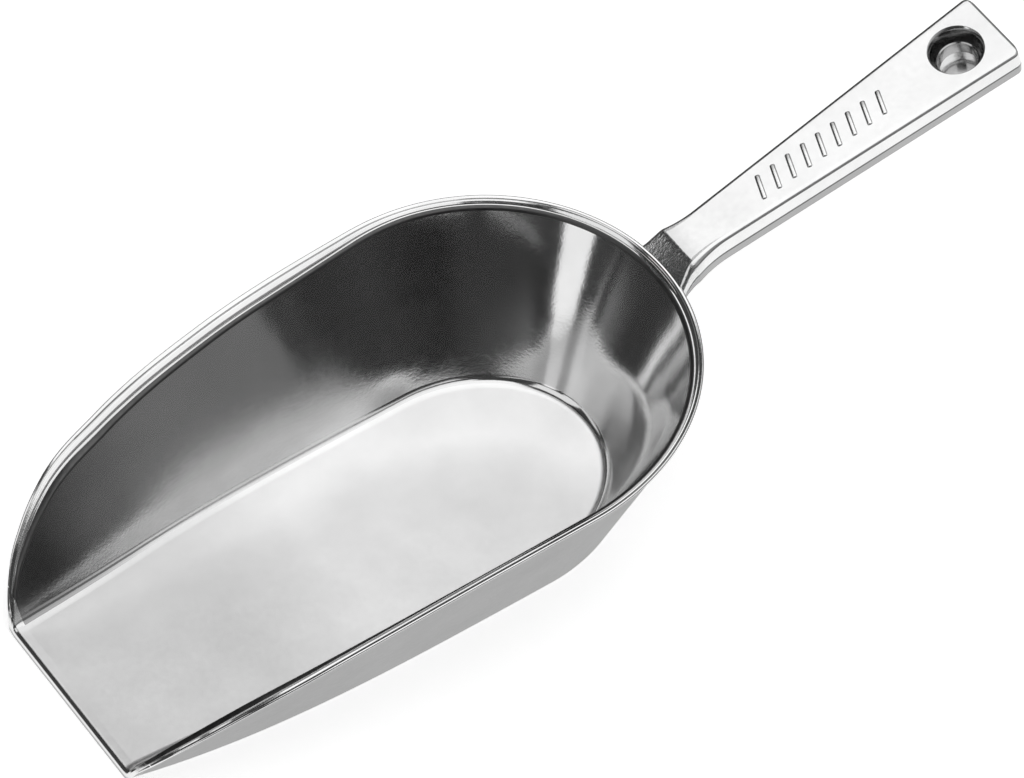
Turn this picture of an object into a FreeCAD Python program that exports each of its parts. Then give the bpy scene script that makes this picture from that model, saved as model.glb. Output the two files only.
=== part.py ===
import FreeCAD, Part
import math
import os

# Cast aluminium ice scoop, in millimetres.
# X runs from the mouth (-X) to the end of the handle (+X), Y across, Z up.
# The origin is on the flat underside, in the middle of the overall length.
# Shapes are drawn with the mouth at x = 0 and moved into the part's frame as they are saved.

# ---- overall ----
LENGTH = 262.0            # mouth edge to the end of the handle
FLOOR_THICK = 2.5         # bottom plate
WALL_FOOT_THICK = 5.0     # wall at the table, measured across the bowl
WALL_TOP_THICK = 1.8      # the same wall at DRAW_HEIGHT
LIP_WALL_THICK = 1.4      # the wall where it runs out at the mouth
WALL_TAPER = 35.0         # distance from the mouth over which the wall reaches its full thickness

# ---- plan of the bowl: two straight-ish sides and a half ellipse at the back ----
BACK_START = 111.0        # where the sides end and the round back begins
FOOT_HALF_WIDTH = 33.2    # outside of the wall at the table
FOOT_LIP_HALF_WIDTH = 24.4
FOOT_BACK_LENGTH = 37.7   # how far the back reaches behind BACK_START at the table
FOOT_SPREAD = 3.4         # how quickly the foot widens behind the mouth
DRAW_HEIGHT = 50.0        # height of the upper outline that the straight wall lines run to
TOP_HALF_WIDTH = 53.3
TOP_LIP_HALF_WIDTH = 51.5
TOP_BACK_LENGTH = 56.3
TOP_SPREAD = 2.0
COVE_WIDTH = 0.8          # cove between wall and floor, beyond the wall's thickness at the table
COVE_RISE = 1.9

# ---- rim ----
# Height of the rim's outer edge against distance from the mouth, measured along the side and round the back.
RIM_PROFILE = [(0.0, 3.4), (1.5, 7.6), (5.0, 14.2), (11.0, 21.0), (19.0, 27.4), (38.0, 34.9), (68.8, 41.6),
               (116.5, 45.4), (166.0, 46.3)]
RIM_SLOPE = math.radians(36.0)   # the rim's top face falls inward
RIM_WIDE = 4.6            # top face across, along the sides
RIM_THIN = 2.1            # top face across, at the back
RIM_LIP = 1.6             # top face across, at the mouth
RIM_SWELL = 45.0          # distance from the mouth over which the top face reaches its full width
RIM_NARROWING = (85.0, 130.0)    # distances from the mouth between which it narrows again
RIM_BAND = 7.0            # height of the rim bead where the wall is tall
RIM_EDGE = 1.0            # upright inner edge of the bead
RIM_BACK_LEVEL = 0.9      # height of the rim at the back, as a share of DRAW_HEIGHT
BEAD_SHARE = 0.6          # near the mouth the bead takes this share of the wall's height
COVE_SHARE = 0.6          # and the cove this share of what is left
RIM_FALL_SHARE = 0.5      # and the top face falls no more than this share of the bead
RIM_EDGE_SHARE = 0.8      # nor the upright edge lower than this share

# ---- front lip ----
LIP_LENGTH = 3.0
LIP_BEVEL = 1.1           # how far back from the edge the steep bevel reaches
LIP_EDGE = 0.7            # thickness left at the digging edge

# ---- handle ----
HANDLE_SLOPE = math.atan(0.225)
HANDLE_DATUM_X = 200.0    # a point on the handle's top face
HANDLE_DATUM_Z = 57.4
HANDLE_THICK = 8.5
HANDLE_START = -31.0      # from the datum, along the handle: the brow behind the rim
HANDLE_HALF_START = 5.3   # half width of the top face there, before the flare
HANDLE_HALF_END = 10.6
HANDLE_FLARE = 1.5        # how much wider the sides spread at the brow
HANDLE_FLARE_LENGTH = 9.0
HANDLE_FLARE_STEPS = 5    # straight pieces that the flare is drawn with
HANDLE_BULGE = 0.7        # the mid-height parting line stands this far outside the faces
HANDLE_CORNER = 2.2       # rounding of the two end corners
HOLE_FROM_END = 11.4
HOLE_RADIUS = 4.8
HOLE_TOP_RADIUS = 6.6     # the hanging hole opens out to this at the top face
HOLE_TOP_DEPTH = 4.2      # how far down that cone reaches
HOLE_EDGE = 0.5           # eased edge at the bottom face

# ---- neck ----
NECK_INSET = 8.0          # the neck's block starts this far inside the bowl's back
NECK_HALF_ROOT = 12.0     # half width of that block
NECK_TOP_Z = 45.2         # where the saddle meets the rim
NECK_FOOT_Z = 27.0        # where the rib under the handle meets the wall
NECK_RIB_RISE = 0.75      # how far up the rib's curve bends, as a share of its height
NECK_RIB_TAPER = 0.8      # width of the rib's underside, as a share of the top
SADDLE_INSET = 1.0        # the saddle ends this far inside the wall's top outline

# ---- raised bars on the grip ----
MARK_COUNT = 9
MARK_FIRST = -7.0         # first bar, along the handle from the datum
MARK_PITCH = 4.4
MARK_LENGTH = 7.0
MARK_WIDTH = 1.3
MARK_HEIGHT = 0.45
MARK_SLANT = 20.0         # degrees off square

# ---- how finely the curves are drawn ----
SIDE_STATIONS = 11
SIDE_CROWDING = 1.4       # above 1, the stations stand closer together near the mouth
BACK_STATIONS = 17
HALVINGS = 50             # steps of the search along the rim's curve
SMALL = 0.01


def vec(x, y, z):
    return FreeCAD.Vector(x, y, z)


def mix(a, b, share):
    return a + (b - a) * share


# ---- the bowl's lines ----

def rim_curve():
    curve = Part.BSplineCurve()
    curve.interpolate([vec(x, 0, z) for x, z in RIM_PROFILE])
    return curve


RIM_CURVE = rim_curve()


def rim_height(x):
    """Height of the rim's outer edge above the table, at a distance from the mouth."""
    x = min(max(x, RIM_PROFILE[0][0]), RIM_PROFILE[-1][0])
    low = RIM_CURVE.FirstParameter
    high = RIM_CURVE.LastParameter
    for _ in range(HALVINGS):
        middle = (low + high) / 2
        if RIM_CURVE.value(middle).x < x:
            low = middle
        else:
            high = middle
    return RIM_CURVE.value(low).z


def stations():
    """Places along the U from the mouth to the middle of the back: (distance along the side, back angle)."""
    reach = BACK_START - LIP_LENGTH
    places = []
    for i in range(SIDE_STATIONS):
        share = i / SIDE_STATIONS
        places.append((LIP_LENGTH + reach * share ** SIDE_CROWDING, math.pi / 2))
    for i in range(BACK_STATIONS):
        places.append((BACK_START, math.pi / 2 * (1 - i / (BACK_STATIONS - 1))))
    return places


def along(place):
    """Distance from the mouth of a place on the rim."""
    side, angle = place
    return side + mix(FOOT_BACK_LENGTH, TOP_BACK_LENGTH, RIM_BACK_LEVEL) * math.cos(angle)


def half_width(x, lip, full, spread):
    return full - (full - lip) * (1 - x / BACK_START) ** spread


def wall_point(place, height, inset):
    """A point on the outside of the wall at a height, moved inward by inset."""
    side, angle = place
    level = height / DRAW_HEIGHT
    foot = half_width(side, FOOT_LIP_HALF_WIDTH, FOOT_HALF_WIDTH, FOOT_SPREAD)
    top = half_width(side, TOP_LIP_HALF_WIDTH, TOP_HALF_WIDTH, TOP_SPREAD)
    across = mix(foot, top, level) - inset
    back = mix(FOOT_BACK_LENGTH, TOP_BACK_LENGTH, level) - inset
    return vec(side + back * math.cos(angle), across * math.sin(angle), height)


def wall_thickness(place, height):
    """How far in from the outer face the inner face is, at a height."""
    left = max(0.0, 1 - along(place) / WALL_TAPER) ** 2
    foot = mix(WALL_FOOT_THICK, LIP_WALL_THICK, left)
    top = mix(WALL_TOP_THICK, LIP_WALL_THICK, left)
    return mix(foot, top, height / DRAW_HEIGHT)


def inner_wall_point(place, height):
    return wall_point(place, height, wall_thickness(place, height))


def rim_width(place):
    x = along(place)
    narrow, end = RIM_NARROWING
    share = min(1.0, max(0.0, (x - narrow) / (end - narrow)))
    share = share * share * (3 - 2 * share)
    wide = mix(RIM_LIP, RIM_WIDE, math.sqrt(min(1.0, x / RIM_SWELL)))
    return mix(wide, RIM_THIN, share)


def seam_height(place):
    """Height of the line between the wall and the rim bead."""
    height = rim_height(along(place))
    return height - min(RIM_BAND, (height - FLOOR_THICK) * BEAD_SHARE)


def floor_inset(place):
    return wall_thickness(place, 0.0) + COVE_WIDTH


# ---- rails: lines that run round the U ----

def foot_line(place):
    return wall_point(place, 0.0, 0.0)


def floor_line_low(place):
    return wall_point(place, 0.0, floor_inset(place))


def floor_line_top(place):
    point = floor_line_low(place)
    return vec(point.x, point.y, FLOOR_THICK)


def cove_top_line(place):
    rise = min(COVE_RISE, (seam_height(place) - FLOOR_THICK) * COVE_SHARE)
    return inner_wall_point(place, FLOOR_THICK + rise)


def cove_middle_line(place):
    corner = inner_wall_point(place, FLOOR_THICK)
    ends = floor_line_top(place) + cove_top_line(place)
    return corner * 0.5 + ends * 0.25


def seam_outside_line(place):
    return wall_point(place, seam_height(place), 0.0)


def seam_inside_line(place):
    return inner_wall_point(place, seam_height(place))


def rim_outer_line(place):
    return wall_point(place, rim_height(along(place)), 0.0)


def rim_inner_point(place, drop, most):
    """A point on the bead's inner edge: the top face's fall and a drop below the outer edge, or less."""
    top = rim_height(along(place))
    fall = rim_width(place) * math.tan(RIM_SLOPE)
    low = top - min(fall + drop, most * (top - seam_height(place)))
    outside = wall_point(place, top, rim_width(place))
    return vec(outside.x, outside.y, low)


def rim_inner_line(place):
    return rim_inner_point(place, 0.0, RIM_FALL_SHARE)


def rim_under_line(place):
    return rim_inner_point(place, RIM_EDGE, RIM_EDGE_SHARE)


def rail(line):
    """A smooth edge through a line's points, from the right of the mouth round the back to the left."""
    half = [line(place) for place in stations()]
    right = [vec(point.x, -point.y, point.z) for point in half]
    curve = Part.BSplineCurve()
    curve.interpolate(right[:-1] + half[::-1])
    return curve.toShape()


def flat_face(corners):
    return Part.Face(Part.makePolygon(corners + corners[:1]))


def sewn_solid(faces):
    shell = Part.Shell(faces)
    shell.sewShape()
    solid = Part.Solid(shell)
    if solid.Volume < 0:
        solid.reverse()
    return solid


def shell_of_rails(lines):
    """A closed solid whose cross-section has its corners on the given lines, in order."""
    rails = [rail(line) for line in lines]
    faces = []
    for here, there in zip(rails, rails[1:] + rails[:1]):
        faces.append(Part.makeRuledSurface(here, there))
    for end in (0, -1):
        faces.append(flat_face([edge.Vertexes[end].Point for edge in rails]))
    return sewn_solid(faces)


# ---- the pieces ----

def bowl_wall():
    return shell_of_rails([foot_line, seam_outside_line, seam_inside_line, cove_top_line, cove_middle_line,
                           floor_line_top, floor_line_low])


def rim_bead():
    return shell_of_rails([seam_outside_line, rim_outer_line, rim_inner_line, rim_under_line,
                           seam_inside_line])


def bowl_floor():
    edge = rail(floor_line_low)
    ends = [vertex.Point for vertex in edge.Vertexes]
    outline = Part.Wire([edge, Part.makeLine(ends[1], ends[0])])
    return Part.Face(outline).extrude(vec(0, 0, FLOOR_THICK))


def mouth_outline(x, squash):
    """The corners of the bowl's cross-section at a distance from the mouth, pressed down flat."""
    lines = [foot_line, seam_outside_line, rim_outer_line, rim_inner_line, rim_under_line, seam_inside_line,
             cove_top_line, cove_middle_line, floor_line_top]
    left = [line((x, math.pi / 2)) for line in lines]
    across = left + [vec(point.x, -point.y, point.z) for point in reversed(left)]
    return [vec(point.x, point.y, point.z * squash) for point in across]


def front_lip():
    """The bevelled edge across the mouth, with the run-out of wall and rim at its two ends."""
    outlines = [mouth_outline(0.0, LIP_EDGE / FLOOR_THICK), mouth_outline(LIP_BEVEL, 1.0),
                mouth_outline(LIP_LENGTH, 1.0)]
    faces = [flat_face(outlines[0]), flat_face(outlines[-1])]
    for near, far in zip(outlines, outlines[1:]):
        for i in range(len(near)):
            low = Part.makeLine(near[i - 1], near[i])
            high = Part.makeLine(far[i - 1], far[i])
            faces.append(Part.makeRuledSurface(low, high))
    return sewn_solid(faces)


# ---- handle ----

def on_handle(length, across, depth):
    """A point given along the handle from its datum, across it, and down from its top face."""
    x = HANDLE_DATUM_X + length * math.cos(HANDLE_SLOPE) + depth * math.sin(HANDLE_SLOPE)
    z = HANDLE_DATUM_Z + length * math.sin(HANDLE_SLOPE) - depth * math.cos(HANDLE_SLOPE)
    return vec(x, across, z)


def handle_end():
    """Distance from the datum to the end face, so that the whole scoop is LENGTH long."""
    return (LENGTH - on_handle(0, 0, HANDLE_THICK).x) / math.cos(HANDLE_SLOPE)


def handle_half(length):
    """Half width of the top face: an even taper, with a flare where the handle meets the neck."""
    share = (length - HANDLE_START) / (handle_end() - HANDLE_START)
    near = max(0.0, 1 - (length - HANDLE_START) / HANDLE_FLARE_LENGTH)
    return mix(HANDLE_HALF_START, HANDLE_HALF_END, share) + HANDLE_FLARE * near ** 2


def handle_section(length):
    half = handle_half(length)
    middle = HANDLE_THICK / 2
    corners = [(half, 0), (half + HANDLE_BULGE, middle), (half, HANDLE_THICK),
               (-half, HANDLE_THICK), (-half - HANDLE_BULGE, middle), (-half, 0)]
    points = [on_handle(length, across, depth) for across, depth in corners]
    return Part.makePolygon(points + points[:1])


def handle_axis():
    return on_handle(0, 0, 0) - on_handle(0, 0, 1)


def handle_bar():
    end = handle_end()
    step = HANDLE_FLARE_LENGTH / HANDLE_FLARE_STEPS
    lengths = [HANDLE_START + step * i for i in range(HANDLE_FLARE_STEPS + 1)]
    bar = Part.makeLoft([handle_section(length) for length in lengths + [end]], True, True)
    forward = on_handle(1, 0, 0) - on_handle(0, 0, 0)
    corners = []
    for edge in bar.Edges:
        far = all(abs((v.Point - on_handle(end, 0, 0)).dot(forward)) < SMALL for v in edge.Vertexes)
        upright = abs(edge.Vertexes[0].Point.y - edge.Vertexes[1].Point.y) < 2 * HANDLE_BULGE
        if far and upright:
            corners.append(edge)
    bar = bar.makeFillet(HANDLE_CORNER, corners)
    return bar.cut(hanging_hole(end - HOLE_FROM_END))


def hanging_hole(length):
    """The bore through the handle, coned from the top face and eased at the bottom, as one cutter."""
    up = handle_axis()
    spare = 1.0
    below = on_handle(length, 0, HANDLE_THICK + spare)
    bore = Part.makeCylinder(HOLE_RADIUS, HANDLE_THICK + 2 * spare, below, up)
    opening = (HOLE_TOP_RADIUS - HOLE_RADIUS) / HOLE_TOP_DEPTH
    top = Part.makeCone(HOLE_RADIUS, HOLE_TOP_RADIUS + spare * opening, HOLE_TOP_DEPTH + spare,
                        on_handle(length, 0, HOLE_TOP_DEPTH), up)
    eased = HOLE_EDGE + spare
    bottom = Part.makeCone(HOLE_RADIUS, HOLE_RADIUS + eased, eased,
                           on_handle(length, 0, HANDLE_THICK - HOLE_EDGE), up * -1)
    return bore.fuse(top).fuse(bottom)


def bowl_block():
    """Everything inside the outer face of the wall, used to trim the neck to the bowl."""
    def top_line(place):
        return wall_point(place, DRAW_HEIGHT, 0.0)

    foot = rail(foot_line)
    top = rail(top_line)
    faces = [Part.makeRuledSurface(foot, top)]
    for edge in (foot, top):
        ends = [vertex.Point for vertex in edge.Vertexes]
        faces.append(Part.Face(Part.Wire([edge, Part.makeLine(ends[1], ends[0])])))
    faces.append(flat_face([foot.Vertexes[0].Point, top.Vertexes[0].Point,
                            top.Vertexes[-1].Point, foot.Vertexes[-1].Point]))
    return sewn_solid(faces)


def handle_neck():
    """The root of the handle: a saddle behind the rim above, and a rib running down the wall below."""
    back = BACK_START + FOOT_BACK_LENGTH - NECK_INSET
    top_back = BACK_START + TOP_BACK_LENGTH
    start_top = on_handle(HANDLE_START, 0, 0)
    start_low = on_handle(HANDLE_START, 0, HANDLE_THICK)
    saddle = vec(top_back - SADDLE_INSET, 0, NECK_TOP_Z)
    inner_top = vec(back, 0, NECK_TOP_Z)
    foot = vec(back, 0, NECK_FOOT_Z)
    rib = Part.BezierCurve()
    rib.setPoles([foot, vec(top_back, 0, mix(foot.z, start_low.z, NECK_RIB_RISE)), start_low])
    outline = [
        Part.makeLine(start_low, start_top),
        Part.makeLine(start_top, saddle),
        Part.makeLine(saddle, inner_top),
        Part.makeLine(inner_top, foot),
        rib.toShape(),
    ]
    reach = 2 * NECK_HALF_ROOT
    block = Part.Face(Part.Wire(outline)).extrude(vec(0, 2 * reach, 0))
    block.translate(vec(0, -reach, 0))
    return block.common(neck_plan(start_low.x, back)).cut(bowl_block())


def neck_plan(start, back):
    """The neck seen from above: the handle's own section at one end, flared where it meets the wall."""
    sections = []
    for x, half in ((start, handle_half(HANDLE_START)), (back, NECK_HALF_ROOT)):
        top = HANDLE_DATUM_Z + (x - HANDLE_DATUM_X) * math.tan(HANDLE_SLOPE)
        middle = top - HANDLE_THICK / 2 / math.cos(HANDLE_SLOPE)
        above = top + HANDLE_THICK
        rib = half * NECK_RIB_TAPER
        left = [vec(x, half, above), vec(x, half, top), vec(x, half + HANDLE_BULGE, middle), vec(x, rib, 0)]
        points = left + [vec(x, -point.y, point.z) for point in reversed(left)]
        sections.append(Part.makePolygon(points + points[:1]))
    return Part.makeLoft(sections, True, True)


def grip_marks():
    """A row of separate slanted bars standing on the top of the handle."""
    bars = []
    for i in range(MARK_COUNT):
        bar = Part.makeBox(MARK_WIDTH, MARK_LENGTH, MARK_HEIGHT,
                           vec(-MARK_WIDTH / 2, -MARK_LENGTH / 2, 0))
        bar.rotate(vec(0, 0, 0), vec(0, 0, 1), -MARK_SLANT)
        bar.rotate(vec(0, 0, 0), vec(0, 1, 0), -math.degrees(HANDLE_SLOPE))
        bar.translate(on_handle(MARK_FIRST + i * MARK_PITCH, 0, 0))
        bars.append(bar)
    return Part.makeCompound(bars)


PIECES = {
    "bowl_floor": bowl_floor,
    "bowl_wall": bowl_wall,
    "rim_bead": rim_bead,
    "front_lip": front_lip,
    "handle_neck": handle_neck,
    "handle_bar": handle_bar,
    "grip_marks": grip_marks,
}

os.makedirs("parts", exist_ok=True)
for name, make in PIECES.items():
    shape = make()
    shape.translate(vec(-LENGTH / 2, 0, 0))
    shape.exportStep(f"parts/{name}.step")
    box = shape.BoundBox
    state = "valid" if shape.isValid() else "INVALID"
    print(f"{name} {state} {shape.Volume:.0f} mm3  x {box.XMin:.1f}..{box.XMax:.1f}"
          f"  y {box.YMin:.1f}..{box.YMax:.1f}  z {box.ZMin:.1f}..{box.ZMax:.1f}")
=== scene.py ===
import math

import bpy
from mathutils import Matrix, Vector


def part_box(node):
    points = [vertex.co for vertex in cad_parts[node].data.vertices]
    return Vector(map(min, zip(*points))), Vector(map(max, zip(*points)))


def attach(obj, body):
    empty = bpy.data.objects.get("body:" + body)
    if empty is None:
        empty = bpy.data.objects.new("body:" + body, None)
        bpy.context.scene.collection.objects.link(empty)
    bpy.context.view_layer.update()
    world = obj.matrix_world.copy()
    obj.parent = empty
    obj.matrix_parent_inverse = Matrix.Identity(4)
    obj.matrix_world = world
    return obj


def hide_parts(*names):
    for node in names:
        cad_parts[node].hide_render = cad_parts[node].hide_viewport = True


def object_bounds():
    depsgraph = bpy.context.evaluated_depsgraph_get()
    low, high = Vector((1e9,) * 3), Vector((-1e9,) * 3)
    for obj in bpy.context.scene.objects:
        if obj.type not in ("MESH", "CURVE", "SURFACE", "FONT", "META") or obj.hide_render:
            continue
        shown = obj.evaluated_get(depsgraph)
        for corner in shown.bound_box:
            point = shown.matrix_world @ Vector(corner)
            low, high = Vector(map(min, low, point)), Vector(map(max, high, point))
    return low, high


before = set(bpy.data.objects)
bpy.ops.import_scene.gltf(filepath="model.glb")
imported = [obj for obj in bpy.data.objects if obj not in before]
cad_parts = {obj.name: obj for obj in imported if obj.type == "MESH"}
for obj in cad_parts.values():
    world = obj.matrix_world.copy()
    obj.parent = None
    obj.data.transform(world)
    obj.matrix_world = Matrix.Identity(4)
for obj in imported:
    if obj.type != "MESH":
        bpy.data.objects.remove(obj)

cad_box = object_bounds()
bpy.ops.object.select_all(action="DESELECT")
scene = bpy.context.scene

# ---------------------------------------------------------------- camera
# A long lens looks down into the bowl from beyond its right front corner, as one stands over a counter.
CAMERA_TURN = math.radians(-34.36)
CAMERA_TILT = math.radians(51.63)
CAMERA_DISTANCE = 1.500
CAMERA_AIM = Vector((-0.00465, 0.00502, 0.0225))
CAMERA_LENS = 225.5

towards_camera = Vector((math.sin(CAMERA_TURN) * math.cos(CAMERA_TILT),
                         -math.cos(CAMERA_TURN) * math.cos(CAMERA_TILT),
                         math.sin(CAMERA_TILT)))
camera_data = bpy.data.cameras.new("camera")
camera_data.lens = CAMERA_LENS
camera_data.sensor_width = 36.0
camera_data.clip_end = 20.0
camera = bpy.data.objects.new("camera", camera_data)
camera.location = CAMERA_AIM + towards_camera * CAMERA_DISTANCE
camera.rotation_euler = towards_camera.to_track_quat("Z", "Y").to_euler()
scene.collection.objects.link(camera)
scene.camera = camera
scene.view_settings.view_transform = "Standard"

# ---------------------------------------------------------------- room
# A plain pale table and one broad soft light overhead; the room around it is dim, so polished metal has
# something dark to show as well.
TABLE_REACH = 6.0
TABLE_COLOUR = (0.90, 0.90, 0.90, 1.0)
TABLE_GLOW = 0.62
TABLE_GAP = 0.0001

bpy.ops.mesh.primitive_plane_add(size=TABLE_REACH, location=(0, 0, -TABLE_GAP))
table = bpy.context.object
table.name = "table"
table_material = bpy.data.materials.new("pale_table")
table_material.use_nodes = True
table_shader = table_material.node_tree.nodes["Principled BSDF"]
table_shader.inputs["Base Color"].default_value = TABLE_COLOUR
table_shader.inputs["Roughness"].default_value = 0.9
table_shader.inputs["Specular IOR Level"].default_value = 0.0
table_shader.inputs["Emission Color"].default_value = (1.0, 1.0, 1.0, 1.0)
table_shader.inputs["Emission Strength"].default_value = TABLE_GLOW
table.data.materials.append(table_material)
table.visible_glossy = False

# Height of a direction, from -1 straight down to 1 straight up, and how bright the room is there.
SKY_BANDS = [(-1.0, 0.45), (-0.8, 0.45), (-0.66, 0.95), (-0.40, 0.95), (-0.25, 0.045), (0.745, 0.045),
             (0.775, 1.0), (1.0, 1.0)]
# A soft fill from behind the handle: the way to it, and its light.
FILL_WAY = (0.90, -0.43, 0.0)
FILL_LIGHT = 0.36
# Pale cards: which end (-1 beyond the mouth, 1 beyond the handle), sideways from and to, height from and to,
# and light. The last two are one card on the right, across both ends.
CARDS = [(-1, -0.33, -0.07, -0.30, 0.03, 0.95),
         (-1, -0.28, -0.10, -0.03, 0.19, 0.95),
         (-1, 0.03, 0.35, 0.10, 0.40, 0.80),
         (-1, -0.35, 0.35, 0.28, 0.76, 0.80),
         (1, 0.78, 0.97, 0.50, 0.715, 0.19),
         (1, -1.05, -0.72, 0.62, 0.80, 0.90),
         (-1, -1.05, -0.90, 0.62, 0.80, 0.90)]
CARD_SOFT = 0.02
# The overhead light fades out towards the mouth's left: the way, how far along it the fade starts and ends,
# what is left of the light, and the heights over which a direction comes to count as overhead.
OVERHEAD_END = (-0.90, 0.43, 0.0)
OVERHEAD_FADE = (0.28, 0.42)
OVERHEAD_LEAST = 0.06
OVERHEAD_HEIGHT = (0.70, 0.74)
# Heights over which the fill comes in above the table's edge.
ABOVE_TABLE = (-0.02, 0.04)
ROOM_STRENGTH = 1.15

world = bpy.data.worlds.new("studio")
scene.world = world
world.use_nodes = True
sky = world.node_tree
sky.nodes.clear()


def sky_math(operation, *values):
    """A sum on values of the room's light, each a number or another node's output."""
    node = sky.nodes.new("ShaderNodeMath")
    node.operation = operation
    for socket, value in zip(node.inputs, values):
        if isinstance(value, (int, float)):
            socket.default_value = value
        else:
            sky.links.new(value, socket)
    return node.outputs[0]


def sky_step(value, low, high):
    """0 below low, 1 above high, and smooth between."""
    node = sky.nodes.new("ShaderNodeMapRange")
    node.interpolation_type = "SMOOTHSTEP"
    node.inputs["From Min"].default_value = low
    node.inputs["From Max"].default_value = high
    sky.links.new(value, node.inputs["Value"])
    return node.outputs["Result"]


direction = sky.nodes.new("ShaderNodeTexCoord").outputs["Generated"]
parts = sky.nodes.new("ShaderNodeSeparateXYZ")
sky.links.new(direction, parts.inputs[0])
east = parts.outputs["X"]
north = parts.outputs["Y"]
up = parts.outputs["Z"]

bands = sky.nodes.new("ShaderNodeValToRGB")
sky.links.new(sky_math("MULTIPLY_ADD", up, 0.5, 0.5), bands.inputs["Fac"])
ramp = bands.color_ramp
ramp.elements.remove(ramp.elements[1])
for i, (place, light) in enumerate(SKY_BANDS):
    stop = ramp.elements[0] if i == 0 else ramp.elements.new((place + 1) / 2)
    stop.position = (place + 1) / 2
    stop.color = (light, light, light, 1.0)


def sky_towards(way):
    """How far a direction of the room points a given way."""
    node = sky.nodes.new("ShaderNodeVectorMath")
    node.operation = "DOT_PRODUCT"
    node.inputs[1].default_value = way
    sky.links.new(direction, node.inputs[0])
    return node.outputs["Value"]


def sky_between(value, low, high):
    """1 between low and high, 0 outside, with a soft edge."""
    rise = sky_step(value, low - CARD_SOFT, low + CARD_SOFT)
    fall = sky_step(value, high - CARD_SOFT, high + CARD_SOFT)
    return sky_math("SUBTRACT", rise, fall)


overhead = sky_math("SUBTRACT", 1.0, sky_step(sky_towards(OVERHEAD_END), *OVERHEAD_FADE))
low_down = sky_math("SUBTRACT", 1.0, sky_step(up, *OVERHEAD_HEIGHT))
dimmed = sky_math("MAXIMUM", low_down, sky_math("MAXIMUM", overhead, OVERHEAD_LEAST))
light = sky_math("MULTIPLY", bands.outputs["Color"], dimmed)
above_table = sky_step(up, *ABOVE_TABLE)
fill = sky_math("MULTIPLY", sky_math("MAXIMUM", sky_towards(FILL_WAY), 0.0), FILL_LIGHT)
light = sky_math("MAXIMUM", light, sky_math("MULTIPLY", fill, above_table))
# How far sideways a direction points, whatever its height; straight up is kept off zero.
level = sky_math("SUBTRACT", 1.0, sky_math("MULTIPLY", up, up))
level = sky_math("SQRT", sky_math("MAXIMUM", level, 0.001))
sideways = sky_math("DIVIDE", north, level)
for end, left, right, low, high, strength in CARDS:
    card = sky_math("MULTIPLY", sky_between(sideways, left, right), sky_between(up, low, high))
    card = sky_math("MULTIPLY", card, sky_math("GREATER_THAN", sky_math("MULTIPLY", east, end), 0.0))
    light = sky_math("MAXIMUM", light, sky_math("MULTIPLY", card, strength))

background = sky.nodes.new("ShaderNodeBackground")
output = sky.nodes.new("ShaderNodeOutputWorld")
background.inputs["Strength"].default_value = ROOM_STRENGTH
sky.links.new(light, background.inputs["Color"])
sky.links.new(background.outputs[0], output.inputs["Surface"])

# ---------------------------------------------------------------- wall
# The bowl's wall is one flared U of cast aluminium round a flat bottom, about 3 mm thick. The inside is
# polished and the outside left as it came from the mould; a cove joins it to the floor.
MOUTH_X = cad_box[0][0]
FLOOR_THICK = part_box("bowl_floor")[1][2]
WALL_FOOT_THICK = 0.0050
WALL_TOP_THICK = 0.0018
LIP_WALL_THICK = 0.0014
WALL_TAPER = 0.035
BACK_START = 0.111
FOOT_HALF_WIDTH = 0.0332
FOOT_LIP_HALF_WIDTH = 0.0244
FOOT_BACK_LENGTH = 0.0377
FOOT_SPREAD = 3.4
DRAW_HEIGHT = 0.050
TOP_HALF_WIDTH = 0.0533
TOP_LIP_HALF_WIDTH = 0.0515
TOP_BACK_LENGTH = 0.0563
TOP_SPREAD = 2.0
COVE_WIDTH = 0.0008
COVE_RISE = 0.0019
FOOT_ROUND = 0.0016
# The rim follows the outline at this level; its band and the cove take no more than this share of a low wall.
RIM_LEVEL = 0.9
LOW_WALL_SHARE = 0.6
MOUTH_STEEPNESS = 1.1
RIM_PROFILE = [(0.0, 0.0034), (0.0015, 0.0076), (0.005, 0.0142), (0.011, 0.0210), (0.019, 0.0274),
               (0.038, 0.0349), (0.0688, 0.0416), (0.1165, 0.0454), (0.166, 0.0463)]
RIM_BAND = 0.007
LIP_LENGTH = 0.003
SIDE_COLUMNS = 70
BACK_COLUMNS = 70
SIDE_CROWDING = 1.5
WALL_ROWS = 8
FOOT_ROWS = 6
COVE_ROWS = 10
MERGE_GAP = 0.0000005
# How upright a face's normal is where the metal lies level and takes the floor's satin.
LEVEL = 0.90


def mix(a, b, share):
    """The value a share of the way from a to b."""
    return a + (b - a) * share


def bend(start, corner, end, steps):
    """Points of a rounded corner from start to end, both kept; an arc if both are as far from the corner."""
    way_in = (corner - start).normalized()
    way_out = (end - corner).normalized()
    pull = math.sqrt(max(0.0, 1 + way_in.dot(way_out)) / 2)
    points = []
    for i in range(steps + 1):
        t = i / steps
        near_start = (1 - t) ** 2
        near_corner = 2 * t * (1 - t) * pull
        near_end = t ** 2
        weighed = start * near_start + corner * near_corner + end * near_end
        points.append(weighed / (near_start + near_corner + near_end))
    return points


def rim_slope(i):
    """Slope of the rim's profile at one of its points."""
    before = RIM_PROFILE[max(i - 1, 0)]
    here = RIM_PROFILE[i]
    after = RIM_PROFILE[min(i + 1, len(RIM_PROFILE) - 1)]
    if i == 0:
        return (after[1] - here[1]) / (after[0] - here[0]) * MOUTH_STEEPNESS
    if i == len(RIM_PROFILE) - 1:
        return 0.0
    back = (here[1] - before[1]) / (here[0] - before[0])
    on = (after[1] - here[1]) / (after[0] - here[0])
    share = (here[0] - before[0]) / (after[0] - before[0])
    return mix(back, on, share)


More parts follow.
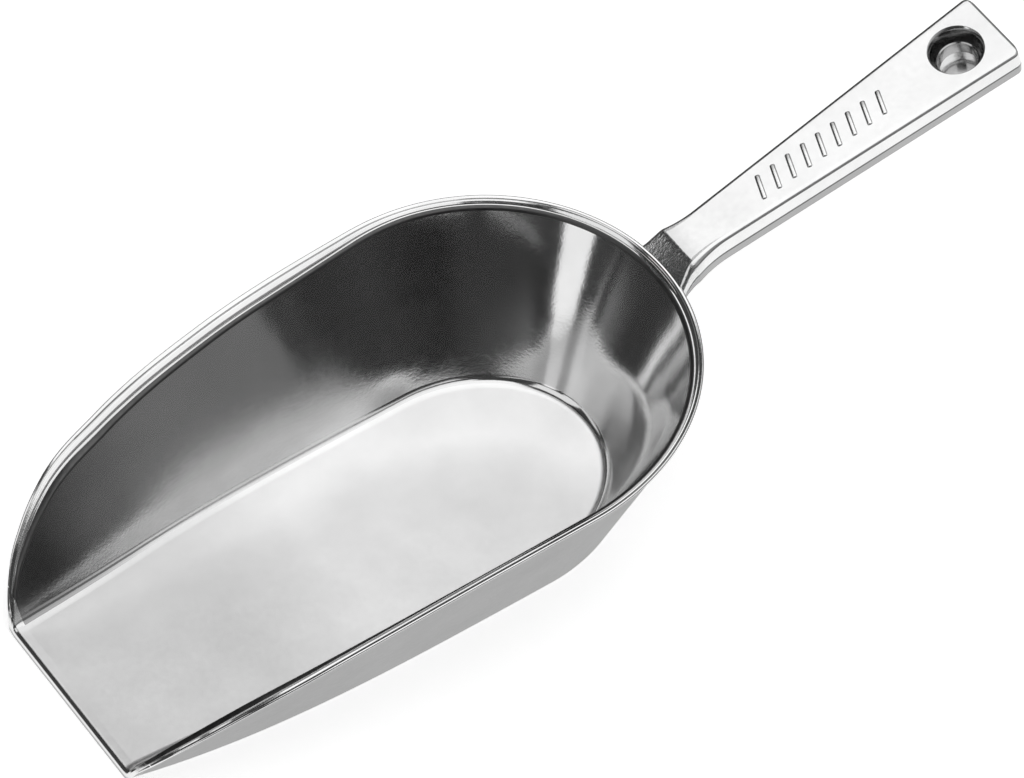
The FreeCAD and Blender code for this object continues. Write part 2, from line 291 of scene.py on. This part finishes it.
def rim_height(x):
    """Height of the rim's outer edge at a distance from the mouth."""
    x = min(max(x, RIM_PROFILE[0][0]), RIM_PROFILE[-1][0])
    i = 0
    while i < len(RIM_PROFILE) - 2 and x > RIM_PROFILE[i + 1][0]:
        i += 1
    (x0, z0), (x1, z1) = RIM_PROFILE[i], RIM_PROFILE[i + 1]
    span = x1 - x0
    t = (x - x0) / span
    rise = z0 * (2 * t ** 3 - 3 * t ** 2 + 1) + z1 * (3 * t ** 2 - 2 * t ** 3)
    return rise + span * (rim_slope(i) * (t ** 3 - 2 * t ** 2 + t) + rim_slope(i + 1) * (t ** 3 - t ** 2))


def half_width(x, lip, full, spread):
    """Half width of the bowl at a distance from the mouth: it widens from lip to full."""
    return full - (full - lip) * (1 - x / BACK_START) ** spread


def wall_point(place, height, inset):
    """A point on the outside of the wall at a height, moved inward by inset."""
    side, angle = place
    level = height / DRAW_HEIGHT
    foot = half_width(side, FOOT_LIP_HALF_WIDTH, FOOT_HALF_WIDTH, FOOT_SPREAD)
    top = half_width(side, TOP_LIP_HALF_WIDTH, TOP_HALF_WIDTH, TOP_SPREAD)
    across = mix(foot, top, level) - inset
    back = mix(FOOT_BACK_LENGTH, TOP_BACK_LENGTH, level) - inset
    return Vector((MOUTH_X + side + back * math.cos(angle), across * math.sin(angle), height))


def along(place):
    """Distance from the mouth to the rim at a place."""
    side, angle = place
    return side + mix(FOOT_BACK_LENGTH, TOP_BACK_LENGTH, RIM_LEVEL) * math.cos(angle)


def wall_thickness(place, height):
    """How far in from the outer face the inner face is, at a height."""
    left = max(0.0, 1 - along(place) / WALL_TAPER) ** 2
    foot = mix(WALL_FOOT_THICK, LIP_WALL_THICK, left)
    top = mix(WALL_TOP_THICK, LIP_WALL_THICK, left)
    return mix(foot, top, height / DRAW_HEIGHT)


def inner_wall_point(place, height):
    return wall_point(place, height, wall_thickness(place, height))


def floor_inset(place):
    return wall_thickness(place, 0.0) + COVE_WIDTH


def seam_height(place):
    height = rim_height(along(place))
    return height - min(RIM_BAND, (height - FLOOR_THICK) * LOW_WALL_SHARE)


def places():
    """Stations from the middle of the back to the mouth: (distance along the side, angle round the back)."""
    back = [(BACK_START, math.pi / 2 * i / BACK_COLUMNS) for i in range(BACK_COLUMNS + 1)]
    reach = BACK_START - LIP_LENGTH
    side = [(LIP_LENGTH + reach * (1 - i / SIDE_COLUMNS) ** SIDE_CROWDING, math.pi / 2)
            for i in range(1, SIDE_COLUMNS + 1)]
    return back + side


def other_side(points):
    return [Vector((p.x, -p.y, p.z)) for p in points]


def skin(name, rings):
    """A closed shape through rings of points: a grid sheet wrapped round, joined at its edge and capped."""
    round_count = len(rings[0])
    bpy.ops.object.select_all(action="DESELECT")
    bpy.ops.mesh.primitive_grid_add(x_subdivisions=round_count, y_subdivisions=len(rings) - 1, size=1)
    piece = bpy.context.object
    piece.name = name
    piece.data.name = name
    flat = [point for ring in rings for point in ring + ring[:1]]
    for vertex, point in zip(piece.data.vertices, flat):
        vertex.co = point
    bpy.ops.object.mode_set(mode="EDIT")
    bpy.ops.mesh.select_all(action="SELECT")
    bpy.ops.mesh.remove_doubles(threshold=MERGE_GAP)
    bpy.ops.mesh.select_all(action="DESELECT")
    bpy.ops.mesh.select_non_manifold()
    bpy.ops.mesh.fill_holes(sides=0)
    bpy.ops.mesh.select_all(action="SELECT")
    bpy.ops.mesh.normals_make_consistent(inside=False)
    bpy.ops.object.mode_set(mode="OBJECT")
    return piece


def finish_piece(piece, angle):
    """Smooth shading with crisp edges past the angle, and the object left at the origin."""
    bpy.ops.object.select_all(action="DESELECT")
    piece.select_set(True)
    bpy.context.view_layer.objects.active = piece
    bpy.ops.object.transform_apply(location=True, rotation=True, scale=True)
    bpy.ops.object.shade_smooth_by_angle(angle=math.radians(angle))
    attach(piece, "root")


def wall_outside(place):
    """The outside of the wall from the table up to the rim bead's seam."""
    foot = wall_point(place, 0.0, 0.0)
    start = wall_point(place, 0.0, FOOT_ROUND)
    up = wall_point(place, FOOT_ROUND, 0.0)
    seam = seam_height(place)
    rise = [wall_point(place, mix(FOOT_ROUND, seam, i / WALL_ROWS), 0.0) for i in range(1, WALL_ROWS + 1)]
    return bend(start, foot, up, FOOT_ROWS) + rise


def wall_inside(place):
    """The inside of the wall from the rim bead's seam down the cove to the edge of the floor."""
    seam = seam_height(place)
    rise = min(COVE_RISE, (seam - FLOOR_THICK) * LOW_WALL_SHARE)
    top = FLOOR_THICK + rise
    fall = [inner_wall_point(place, mix(seam, top, i / WALL_ROWS)) for i in range(WALL_ROWS)]
    edge = wall_point(place, 0.0, floor_inset(place))
    edge.z = FLOOR_THICK
    return fall + bend(inner_wall_point(place, top), inner_wall_point(place, FLOOR_THICK), edge, COVE_ROWS)


def wall_ring(place):
    inside = wall_inside(place)
    under = inside[-1].copy()
    under.z = 0.0
    return wall_outside(place) + inside + [under]


def round_the_bowl(ring):
    """Rings of a section from the right of the mouth, round the back, to the left of the mouth."""
    left = [ring(place) for place in places()]
    right = [other_side(points) for points in left[:0:-1]]
    return right + left


WAVE_SCALE = 90.0
CLOUD_SCALE = 60.0
GRAIN_SCALE = 1500.0
LINES_SCALE = 700.0
NOISE_SPREAD = (0.3, 0.7)
SHADE_SPREAD = (0.94, 1.03)


def cast_metal(name, shade, polish, grain, wave, mottle=0.25, rubbed=None, darkening_ramp=None):
    """Bare cast aluminium: a slow waviness from the mould, fine grain, and uneven polish.

    grain and wave are bump depths in metres, and mottle is how unevenly it is polished. rubbed gives ramps
    that multiply together, each (axis, from, to, value at from, value at to), and how much rougher the metal
    is where they are all 1. dulled gives one such ramp for the shade. Satin stays above 0.275 in roughness
    and polish below it, so that no finish crosses from one to the other in patches.
    """
    material = bpy.data.materials.new(name)
    material.use_nodes = True
    tree = material.node_tree
    shader = tree.nodes["Principled BSDF"]
    shader.inputs["Metallic"].default_value = 1.0
    where = tree.nodes.new("ShaderNodeTexCoord")
    axes = tree.nodes.new("ShaderNodeSeparateXYZ")
    tree.links.new(where.outputs["Object"], axes.inputs[0])

    def noise(scale, detail):
        node = tree.nodes.new("ShaderNodeTexNoise")
        node.inputs["Scale"].default_value = scale
        node.inputs["Detail"].default_value = detail
        tree.links.new(where.outputs["Object"], node.inputs["Vector"])
        return node.outputs["Fac"]

    def along_axis(axis, start, end, start_value, end_value):
        node = tree.nodes.new("ShaderNodeMapRange")
        node.interpolation_type = "SMOOTHSTEP"
        for socket, value in zip(list(node.inputs)[1:5], (start, end, start_value, end_value)):
            socket.default_value = value
        tree.links.new(axes.outputs[axis], node.inputs["Value"])
        return node.outputs["Result"]

    def combine(operation, first, second):
        node = tree.nodes.new("ShaderNodeMath")
        node.operation = operation
        for socket, value in zip(node.inputs, (first, second)):
            if isinstance(value, (int, float)):
                socket.default_value = value
            else:
                tree.links.new(value, socket)
        return node.outputs[0]

    def spread(value, least, most):
        """A noise turned into a value that goes from least to most."""
        node = tree.nodes.new("ShaderNodeMapRange")
        for socket, limit in zip(list(node.inputs)[1:5], (*NOISE_SPREAD, least, most)):
            socket.default_value = limit
        tree.links.new(value, node.inputs["Value"])
        return node.outputs["Result"]

    def bumped(height, depth, below=None):
        """A normal raised by a noise, on top of another normal."""
        node = tree.nodes.new("ShaderNodeBump")
        node.inputs["Strength"].default_value = 1.0
        node.inputs["Distance"].default_value = depth
        tree.links.new(height, node.inputs["Height"])
        if below is not None:
            tree.links.new(below, node.inputs["Normal"])
        return node.outputs["Normal"]

    tone = spread(noise(CLOUD_SCALE, 4.0), shade * SHADE_SPREAD[0], shade * SHADE_SPREAD[1])
    if darkening_ramp:
        tone = combine("MULTIPLY", tone, along_axis(*darkening_ramp))
    tint = tree.nodes.new("ShaderNodeCombineColor")
    for channel in ("Red", "Green", "Blue"):
        tree.links.new(tone, tint.inputs[channel])
    tree.links.new(tint.outputs["Color"], shader.inputs["Base Color"])

    roughness = spread(noise(LINES_SCALE, 5.0), polish * (1 - mottle), polish * (1 + mottle))
    if rubbed:
        ramps, extra = rubbed
        patch = extra
        for ramp_values in ramps:
            patch = combine("MULTIPLY", patch, along_axis(*ramp_values))
        roughness = combine("ADD", roughness, patch)
    tree.links.new(roughness, shader.inputs["Roughness"])

    rolling = bumped(noise(WAVE_SCALE, 1.0), wave)
    tree.links.new(bumped(noise(GRAIN_SCALE, 3.0), grain, rolling), shader.inputs["Normal"])
    return material


wall = skin("bowl_wall_piece", round_the_bowl(wall_ring))
outside_finish = cast_metal("wall_outside", 0.80, 0.42, 0.00006, 0.00010)
rubbed_low = [("Z", 0.030, 0.010, 0.0, 1.0),
              ("X", MOUTH_X + 0.032, MOUTH_X + 0.060, 0.0, 1.0),
              ("X", MOUTH_X + 0.092, MOUTH_X + 0.110, 1.0, 0.0)]
# The last ramp darkens the inner wall's colour towards the mouth: painted shade, standing in for a darker
# reflection there.
inside_finish = cast_metal("wall_inside", 0.78, 0.10, 0.000008, 0.00007, 0.12, (rubbed_low, 0.155),
                           ("X", MOUTH_X + 0.010, MOUTH_X + 0.055, 0.45, 1.0))
satin = cast_metal("floor_satin", 0.92, 0.30, 0.000003, 0.00005, 0.07,
                   darkening_ramp=("X", MOUTH_X + 0.045, MOUTH_X + 0.075, 0.80, 1.0))
for finish in (outside_finish, inside_finish, satin):
    wall.data.materials.append(finish)
for face in wall.data.polygons:
    x, y, z = face.center
    face.material_index = 0
    away = Vector((x - (MOUTH_X + min(BACK_START, x - MOUTH_X)), y, 0.0))
    faces_in = face.normal.dot(away) < 0 and face.normal.z > -0.2
    if faces_in and z > FLOOR_THICK * 0.98:
        face.material_index = 2 if face.normal.z > LEVEL else 1
finish_piece(wall, 40)
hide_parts("bowl_wall")

# ---------------------------------------------------------------- rim
# The thickened top of the wall, ground and polished: its top face falls inward and runs down to the mouth.
# RIM_ROOM is the share of the bead that the rounds, the face and the inner edge may take, and RIM_FULL the
# height of bead from which they have their full size.
RIM_ROOM = 0.8
RIM_FULL = 0.004
RIM_SLOPE = math.radians(36.0)
RIM_WIDE = 0.0028
RIM_THIN = 0.0019
RIM_LIP = 0.0016
RIM_SWELL = 0.045
RIM_NARROWING = (0.085, 0.130)
RIM_PROUD = 0.0005
RIM_EDGE = 0.0009
RIM_EDGE_BACK = 0.0003
RIM_HOLLOW = 0.0005
# Depth of the strip of wall under the hollow that is coloured near-black along with the corner above it:
# painted shade.
RIM_PAINTED_SHADE_DEPTH = 0.0004
RIM_OUTER_ROUND = 0.0011
RIM_INNER_ROUND = 0.0006
RIM_INNER_ROUND_BACK = 0.0002
RIM_CROWN = 0.00015
RIM_OUTER_ROWS = 4
# How many faces round the corner under the bead take the painted shade.
RIM_PAINTED_SHADE_FACES = 6
CREASE_PLACE = 0.42
CREASE_HALF = 0.00025
CREASE_STEEP = 0.64
CREASE_STEEP_FRONT = 1.1
CREASE_SWELL = 0.060


def round_the_back(place):
    """0 along the sides, 1 round the back of the bowl, and smooth between."""
    narrow, end = RIM_NARROWING
    share = min(1.0, max(0.0, (along(place) - narrow) / (end - narrow)))
    return share * share * (3 - 2 * share)


def rim_width(place):
    """Width of the rim's top face, measured across the bowl."""
    wide = mix(RIM_LIP, RIM_WIDE, math.sqrt(min(1.0, along(place) / RIM_SWELL)))
    return mix(wide, RIM_THIN, round_the_back(place))


def rim_ring(place):
    """The bead's section: up the outside, over the sloping top face with its crease, and down the inside."""
    top = rim_height(along(place))
    seam = seam_height(place)
    width = rim_width(place)
    room = RIM_ROOM * (top - seam)
    small = min(1.0, room / RIM_FULL)
    fall = min(width * math.tan(RIM_SLOPE), room)
    edge = mix(RIM_EDGE, RIM_EDGE_BACK, round_the_back(place))
    drop = min(fall + edge, room)
    crest = wall_point(place, top, -RIM_PROUD * small)
    inner = wall_point(place, top, width)
    inner.z = top - fall
    under = inner.copy()
    under.z = top - drop
    face = inner - crest
    outer_round = RIM_OUTER_ROUND * small
    inner_round = mix(RIM_INNER_ROUND, RIM_INNER_ROUND_BACK, round_the_back(place)) * small
    below_crest = wall_point(place, top - outer_round, -RIM_PROUD * small)
    on_face = crest + face.normalized() * outer_round
    off_face = inner - face.normalized() * inner_round
    below_inner = inner + (under - inner) * min(1.0, inner_round / edge) * 0.8
    front = 1 - min(1.0, along(place) / CREASE_SWELL)
    face_width = (off_face - on_face).length
    half = min(CREASE_HALF * (1 + 2 * front), face_width / 5)
    steep = mix(CREASE_STEEP, CREASE_STEEP_FRONT, min(1.0, 2 * front))
    share = half / face_width
    across = []
    for t in (0.1, 0.2, CREASE_PLACE - share, CREASE_PLACE, CREASE_PLACE + share, 0.75, 0.9):
        point = on_face.lerp(off_face, t)
        point.z += RIM_CROWN * small * 4 * t * (1 - t)
        if t == CREASE_PLACE:
            point.z -= half * steep * small
        across.append(point)
    seam_in = inner_wall_point(place, seam)
    hollow_height = max(seam + 0.0001, top - drop - RIM_HOLLOW * small)
    hollow = inner_wall_point(place, hollow_height)
    corner = inner_wall_point(place, top - drop)
    outside = []
    for i in range(RIM_OUTER_ROWS):
        share = i / RIM_OUTER_ROWS
        outside.append(wall_point(place, mix(seam, top - outer_round, share), -RIM_PROUD * small * share))
    # Lower end of the strip of wall under the bead that is coloured as painted shade.
    below_painted_shade = inner_wall_point(place, max(seam + 0.00005, hollow_height - RIM_PAINTED_SHADE_DEPTH * small))
    return (outside + bend(below_crest, crest, on_face, 8) + across + bend(off_face, inner, below_inner, 4)
            + bend(under, corner, hollow, 6) + [below_painted_shade, seam_in])


rim = skin("rim_bead_piece", round_the_bowl(rim_ring))
rim.data.materials.append(cast_metal("rim_polish", 0.86, 0.10, 0.000006, 0.00006))
# The corner under the bead is coloured near-black (0.12): painted shade, where the bead's overhang shades the
# wall.
rim.data.materials.append(cast_metal("rim_painted_shade", 0.12, 0.40, 0.000006, 0.00006))
rim.data.materials.append(inside_finish)
rim.data.materials.append(outside_finish)
ring_count = len(rim_ring(places()[0]))
for face in rim.data.polygons:
    turn = face.index % ring_count
    face.material_index = 0
    if turn < RIM_OUTER_ROWS:
        face.material_index = 3
    elif turn == ring_count - 2:
        face.material_index = 2
    # The faces round the corner under the bead and the strip below it take the painted shade.
    elif turn >= ring_count - 2 - RIM_PAINTED_SHADE_FACES:
        face.material_index = 1
finish_piece(rim, 40)
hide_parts("rim_bead")

# ---------------------------------------------------------------- floor
# The flat bottom plate, part of the same casting, brushed to a satin whose colour is darker towards the
# mouth.
ring_left = [wall_point(place, 0.0, floor_inset(place)) for place in places()]
outline = other_side(ring_left[:0:-1]) + ring_left

bpy.ops.object.select_all(action="DESELECT")
bpy.ops.mesh.primitive_circle_add(vertices=len(outline), radius=1, fill_type="NGON")
plate = bpy.context.object
plate.name = "bowl_floor_piece"
for vertex, point in zip(plate.data.vertices, outline):
    vertex.co = point
bpy.ops.object.mode_set(mode="EDIT")
bpy.ops.mesh.select_all(action="SELECT")
bpy.ops.mesh.extrude_region_move(TRANSFORM_OT_translate={"value": (0, 0, FLOOR_THICK)})
bpy.ops.mesh.select_all(action="SELECT")
bpy.ops.mesh.normals_make_consistent(inside=False)
bpy.ops.object.mode_set(mode="OBJECT")
plate.data.materials.append(satin)
finish_piece(plate, 30)
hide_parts("bowl_floor")

# ---------------------------------------------------------------- front lip
# The digging edge: the floor bevelled to a blunt edge across the mouth, with the rim running out at each end.
LIP_BEVEL = 0.0011
LIP_EDGE = 0.0007
LIP_ROWS = 6


def lip_ring(x, squash):
    """The mouth's outline at a distance from the digging edge, pressed down towards it."""
    place = (x, math.pi / 2)
    left = wall_outside(place)[:-1] + rim_ring(place)[:-1] + wall_inside(place)
    return [Vector((p.x, p.y, p.z * squash)) for p in left + other_side(left[::-1])]


lip_rings = [lip_ring(mix(LIP_LENGTH, LIP_BEVEL, i / LIP_ROWS), 1.0) for i in range(LIP_ROWS)]
for i in range(LIP_ROWS + 1):
    turn = math.pi / 2 * i / LIP_ROWS
    squash = mix(LIP_EDGE / FLOOR_THICK, 1.0, math.cos(turn))
    lip_rings.append(lip_ring(LIP_BEVEL * (1 - math.sin(turn)), squash))
lip = skin("front_lip_piece", lip_rings)
lip.data.materials.append(cast_metal("lip_polish", 0.80, 0.14, 0.000004, 0.00004, 0.12))
lip.data.materials.append(satin)
for face in lip.data.polygons:
    on_top = face.normal.z > LEVEL and abs(face.center.z - FLOOR_THICK) < COVE_RISE
    face.material_index = 1 if on_top else 0
finish_piece(lip, 30)
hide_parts("front_lip")

# ---------------------------------------------------------------- handle
# A flat tapered bar, polished on top, with a parting line half way down its drafted sides and a hanging hole.
HANDLE_SLOPE = math.atan(0.225)
HANDLE_DATUM = Vector((MOUTH_X + 0.200, 0.0, 0.0574))
HANDLE_THICK = 0.0085
HANDLE_START = -0.031
HANDLE_HALF_START = 0.0053
HANDLE_HALF_END = 0.0106
HANDLE_FLARE = 0.0015
HANDLE_FLARE_LENGTH = 0.009
HANDLE_BULGE = 0.0007
HANDLE_CORNER = 0.0022
BAR_RINGS = 40
BAR_CROWDING = 1.8
CORNER_RINGS = 14
ROUND_ROWS = 6
PARTING_HALF = 0.0003
PARTING_DEPTH = 0.0003
EDGE_ROUND = 0.0010
EDGE_ROUND_AT_BROW = 0.0018
BROW_FADE = 0.0045
HOLE_FROM_END = 0.0114
HOLE_RADIUS = 0.0048
HOLE_TOP_RADIUS = 0.0066
HOLE_TOP_DEPTH = 0.0042
HOLE_EDGE = 0.0005
HOLE_LIP = 0.0003
HOLE_CLEAR = 0.0015
HOLE_CLEAR_BELOW = 0.002
HOLE_STEP = 0.0003
HOLE_STEP_FALL = 0.0002
HOLE_ROWS = 4
SKIN = 0.0001
HOLE_SIDES = 72

forward = Vector((math.cos(HANDLE_SLOPE), 0.0, math.sin(HANDLE_SLOPE)))
upward = Vector((-math.sin(HANDLE_SLOPE), 0.0, math.cos(HANDLE_SLOPE)))
HANDLE_END = (cad_box[1][0] - HANDLE_DATUM.x - HANDLE_THICK * math.sin(HANDLE_SLOPE)) / math.cos(HANDLE_SLOPE)


def on_handle(length, across, depth):
    """A point by its length along the bar, its place across it and its depth below the top face."""
    return HANDLE_DATUM + forward * length - upward * depth + Vector((0.0, across, 0.0))


def handle_outline(half, inset, top_round):
    """Half of the handle's section, from the middle of its top round one side: (across, depth) pairs."""
    top = Vector((half - inset, inset))
    middle = Vector((half + HANDLE_BULGE - inset, HANDLE_THICK / 2))
    low = Vector((half - inset, HANDLE_THICK - inset))
    side_up = (middle - top).normalized()
    side_down = (low - middle).normalized()
    points = [Vector((top.x * i / ROUND_ROWS, inset)) for i in range(ROUND_ROWS)]
    points += bend(top - Vector((top_round, 0)), top, top + side_up * top_round, ROUND_ROWS)
    points.append(middle - side_up * PARTING_HALF)
    points.append(middle - Vector((PARTING_DEPTH, 0)))
    points.append(middle + side_down * PARTING_HALF)
    points += bend(low - side_down * EDGE_ROUND, low, low - Vector((EDGE_ROUND, 0)), ROUND_ROWS)
    points += [Vector((low.x * i / ROUND_ROWS, HANDLE_THICK - inset)) for i in range(ROUND_ROWS - 1, -1, -1)]
    return points


def handle_ring(length, half, inset=0.0):
    """The bar's whole section at a length, drawn in by inset at its end."""
    near = max(0.0, 1 - (length - HANDLE_START) / HANDLE_FLARE_LENGTH)
    side = handle_outline(half, inset, mix(EDGE_ROUND, EDGE_ROUND_AT_BROW, near))
    left = [on_handle(length, across, depth) for across, depth in side]
    return left + other_side(left[-2:0:-1])


def handle_half(length):
    """Half width of the top face: an even taper, with a flare where the handle meets the neck."""
    share = (length - HANDLE_START) / (HANDLE_END - HANDLE_START)
    near = max(0.0, 1 - (length - HANDLE_START) / HANDLE_FLARE_LENGTH)
    return mix(HANDLE_HALF_START, HANDLE_HALF_END, share) + HANDLE_FLARE * near ** 2


def bar_rings():
    """Rings along the bar: close together at the flare and round the corners of its end."""
    rings = []
    straight = HANDLE_END - HANDLE_CORNER
    for i in range(BAR_RINGS + 1):
        length = mix(HANDLE_START, straight, (i / BAR_RINGS) ** BAR_CROWDING)
        rings.append(handle_ring(length, handle_half(length)))
    for i in range(1, CORNER_RINGS + 1):
        angle = math.pi / 2 * i / CORNER_RINGS
        length = straight + HANDLE_CORNER * math.sin(angle)
        half = handle_half(length) - HANDLE_CORNER * (1 - math.cos(angle))
        near = max(0.0, (length - (HANDLE_END - EDGE_ROUND)) / EDGE_ROUND)
        rings.append(handle_ring(length, half, EDGE_ROUND * (1 - math.sqrt(max(0.0, 1 - near ** 2)))))
    return rings


bar = skin("handle_bar_piece", bar_rings())

hole_centre = HANDLE_END - HOLE_FROM_END
profile = [(HOLE_TOP_RADIUS + HOLE_LIP + HOLE_CLEAR, -HOLE_CLEAR), (HOLE_TOP_RADIUS, HOLE_LIP)]
for i in range(1, HOLE_ROWS + 1):
    share = i / HOLE_ROWS
    radius = mix(HOLE_TOP_RADIUS, HOLE_RADIUS + HOLE_STEP, share)
    profile.append((radius, mix(HOLE_LIP, HOLE_TOP_DEPTH, share)))
profile += [(HOLE_RADIUS, HOLE_TOP_DEPTH + HOLE_STEP_FALL), (HOLE_RADIUS, HANDLE_THICK - HOLE_EDGE)]
for i in range(1, HOLE_ROWS + 1):
    turn = math.pi / 2 * i / HOLE_ROWS
    radius = HOLE_RADIUS + HOLE_EDGE * (1 - math.cos(turn))
    profile.append((radius, HANDLE_THICK - HOLE_EDGE * (1 - math.sin(turn))))
profile.append((HOLE_RADIUS + HOLE_EDGE, HANDLE_THICK + HOLE_CLEAR_BELOW))
hole_rings = []
for radius, depth in profile:
    ring = []
    for i in range(HOLE_SIDES):
        turn = 2 * math.pi * i / HOLE_SIDES
        ring.append(on_handle(hole_centre + radius * math.cos(turn), radius * math.sin(turn), depth))
    hole_rings.append(ring)
cutter = skin("hole_cutter", hole_rings)
cut = bar.modifiers.new("hole", "BOOLEAN")
cut.object = cutter
cut.operation = "DIFFERENCE"
cut.solver = "EXACT"
bpy.ops.object.select_all(action="DESELECT")
bar.select_set(True)
bpy.context.view_layer.objects.active = bar
bpy.ops.object.modifier_apply(modifier="hole")
bpy.data.objects.remove(cutter, do_unlink=True)
brow_x = on_handle(HANDLE_START, 0.0, 0.0).x
clean_x = brow_x + BROW_FADE
dull_brow = [("X", clean_x, brow_x, 0.0, 1.0)]
bar.data.materials.append(cast_metal("handle_polish", 0.88, 0.20, 0.000004, 0.00004, 0.12, (dull_brow, 0.04),
                                     ("X", brow_x, clean_x, 0.91, 1.0)))
# The bore is coloured much darker than the top (0.46 against 0.88): painted shade, for the shadowed table
# under the handle that it reflects.
bar.data.materials.append(cast_metal("bore_painted_shade", 0.46, 0.13, 0.00001, 0.00030))
for face in bar.data.polygons:
    from_hole = face.center - on_handle(hole_centre, 0.0, HANDLE_THICK / 2)
    out = math.hypot(from_hole.dot(forward), from_hole.y)
    in_bore = out < HOLE_TOP_RADIUS and abs(from_hole.dot(upward)) < HANDLE_THICK / 2 - SKIN
    face.material_index = 1 if in_bore else 0
finish_piece(bar, 24)
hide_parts("handle_bar")

# ---------------------------------------------------------------- neck
# The root of the handle: it dips in a dull, unpolished saddle behind the rim and spreads into the wall below.
NECK_ROWS = 26
NECK_FLARE = 0.0030
NECK_FOOT_Z = 0.029
NECK_SADDLE_Z = 0.0452
NECK_DEPTH_IN_WALL = 0.0012
NECK_SPREAD_LATE = 1.6
NECK_SINK_LATE = 2.0


def wall_back_x(across, height):
    """Where the back of the wall, a little under its outer face, lies at a place across it and a height."""
    level = height / DRAW_HEIGHT
    back = mix(FOOT_BACK_LENGTH, TOP_BACK_LENGTH, level) - NECK_DEPTH_IN_WALL
    half = mix(FOOT_HALF_WIDTH, TOP_HALF_WIDTH, level) - NECK_DEPTH_IN_WALL
    return MOUTH_X + BACK_START + back * math.sqrt(1 - (across / half) ** 2)


def neck_rings():
    """Rings from the handle to the wall; each point runs from its place on the handle to one on the wall."""
    start = handle_ring(HANDLE_START, handle_half(HANDLE_START))
    start_top = on_handle(HANDLE_START, 0, 0).z
    start_low = on_handle(HANDLE_START, 0, HANDLE_THICK).z
    rings = []
    for row in range(NECK_ROWS + 1):
        share = row / NECK_ROWS
        ring = []
        for point in start:
            depth = (start_top - point.z) / (start_top - start_low)
            depth = min(max(depth, 0.0), 1.0)
            end_z = mix(NECK_SADDLE_Z, NECK_FOOT_Z, depth)
            end_y = point.y * (1 + NECK_FLARE / handle_half(HANDLE_START))
            end = Vector((wall_back_x(end_y, end_z), end_y, end_z))
            x = mix(point.x, end.x, share)
            on_plane = point.z - (point.x - x) * math.tan(HANDLE_SLOPE)
            late = share ** NECK_SPREAD_LATE
            dip = share * share * (3 - 2 * share)
            sink = mix(dip, share ** NECK_SINK_LATE, depth)
            ring.append(Vector((x, mix(point.y, end_y, late), mix(on_plane, end_z, sink))))
        rings.append(ring)
    return rings


neck = skin("handle_neck_piece", neck_rings())
neck.data.materials.append(cast_metal("neck_rough", 0.80, 0.22, 0.00009, 0.00030, 0.20))
finish_piece(neck, 40)
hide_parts("handle_neck")

# ---------------------------------------------------------------- raised bars
# A row of low slanted bars cast on the top of the handle for the thumb.
MARK_COUNT = 9
MARK_FIRST = -0.007
MARK_PITCH = 0.0044
MARK_LENGTH = 0.007
MARK_WIDTH = 0.0013
MARK_HEIGHT = 0.00045
MARK_ROUND = 0.0004
MARK_SLANT = math.radians(-20.0)

bars = []
for i in range(MARK_COUNT):
    bpy.ops.object.select_all(action="DESELECT")
    bpy.ops.mesh.primitive_cube_add(size=1, location=(0, 0, 0))
    mark = bpy.context.object
    mark.scale = (MARK_WIDTH, MARK_LENGTH, MARK_HEIGHT * 2)
    bpy.ops.object.transform_apply(location=False, rotation=False, scale=True)
    bpy.ops.object.mode_set(mode="EDIT")
    bpy.ops.mesh.select_all(action="SELECT")
    bpy.ops.mesh.bevel(offset=MARK_ROUND, segments=4, affect="EDGES")
    bpy.ops.object.mode_set(mode="OBJECT")
    mark.rotation_mode = "QUATERNION"
    tilt = Vector((0, 0, 1)).rotation_difference(upward)
    slanted = Vector((math.cos(MARK_SLANT), math.sin(MARK_SLANT), 0))
    mark.rotation_quaternion = tilt @ Vector((1, 0, 0)).rotation_difference(slanted)
    mark.location = on_handle(MARK_FIRST + i * MARK_PITCH, 0.0, 0.0)
    bpy.ops.object.transform_apply(location=True, rotation=True, scale=True)
    bars.append(mark)
bpy.ops.object.select_all(action="DESELECT")
for mark in bars:
    mark.select_set(True)
bpy.context.view_layer.objects.active = bars[0]
bpy.ops.object.join()
marks = bpy.context.object
marks.name = "grip_marks_piece"
marks.data.materials.append(cast_metal("mark_polish", 0.88, 0.22, 0.000004, 0.00004, 0.12))
finish_piece(marks, 30)
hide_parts("grip_marks")
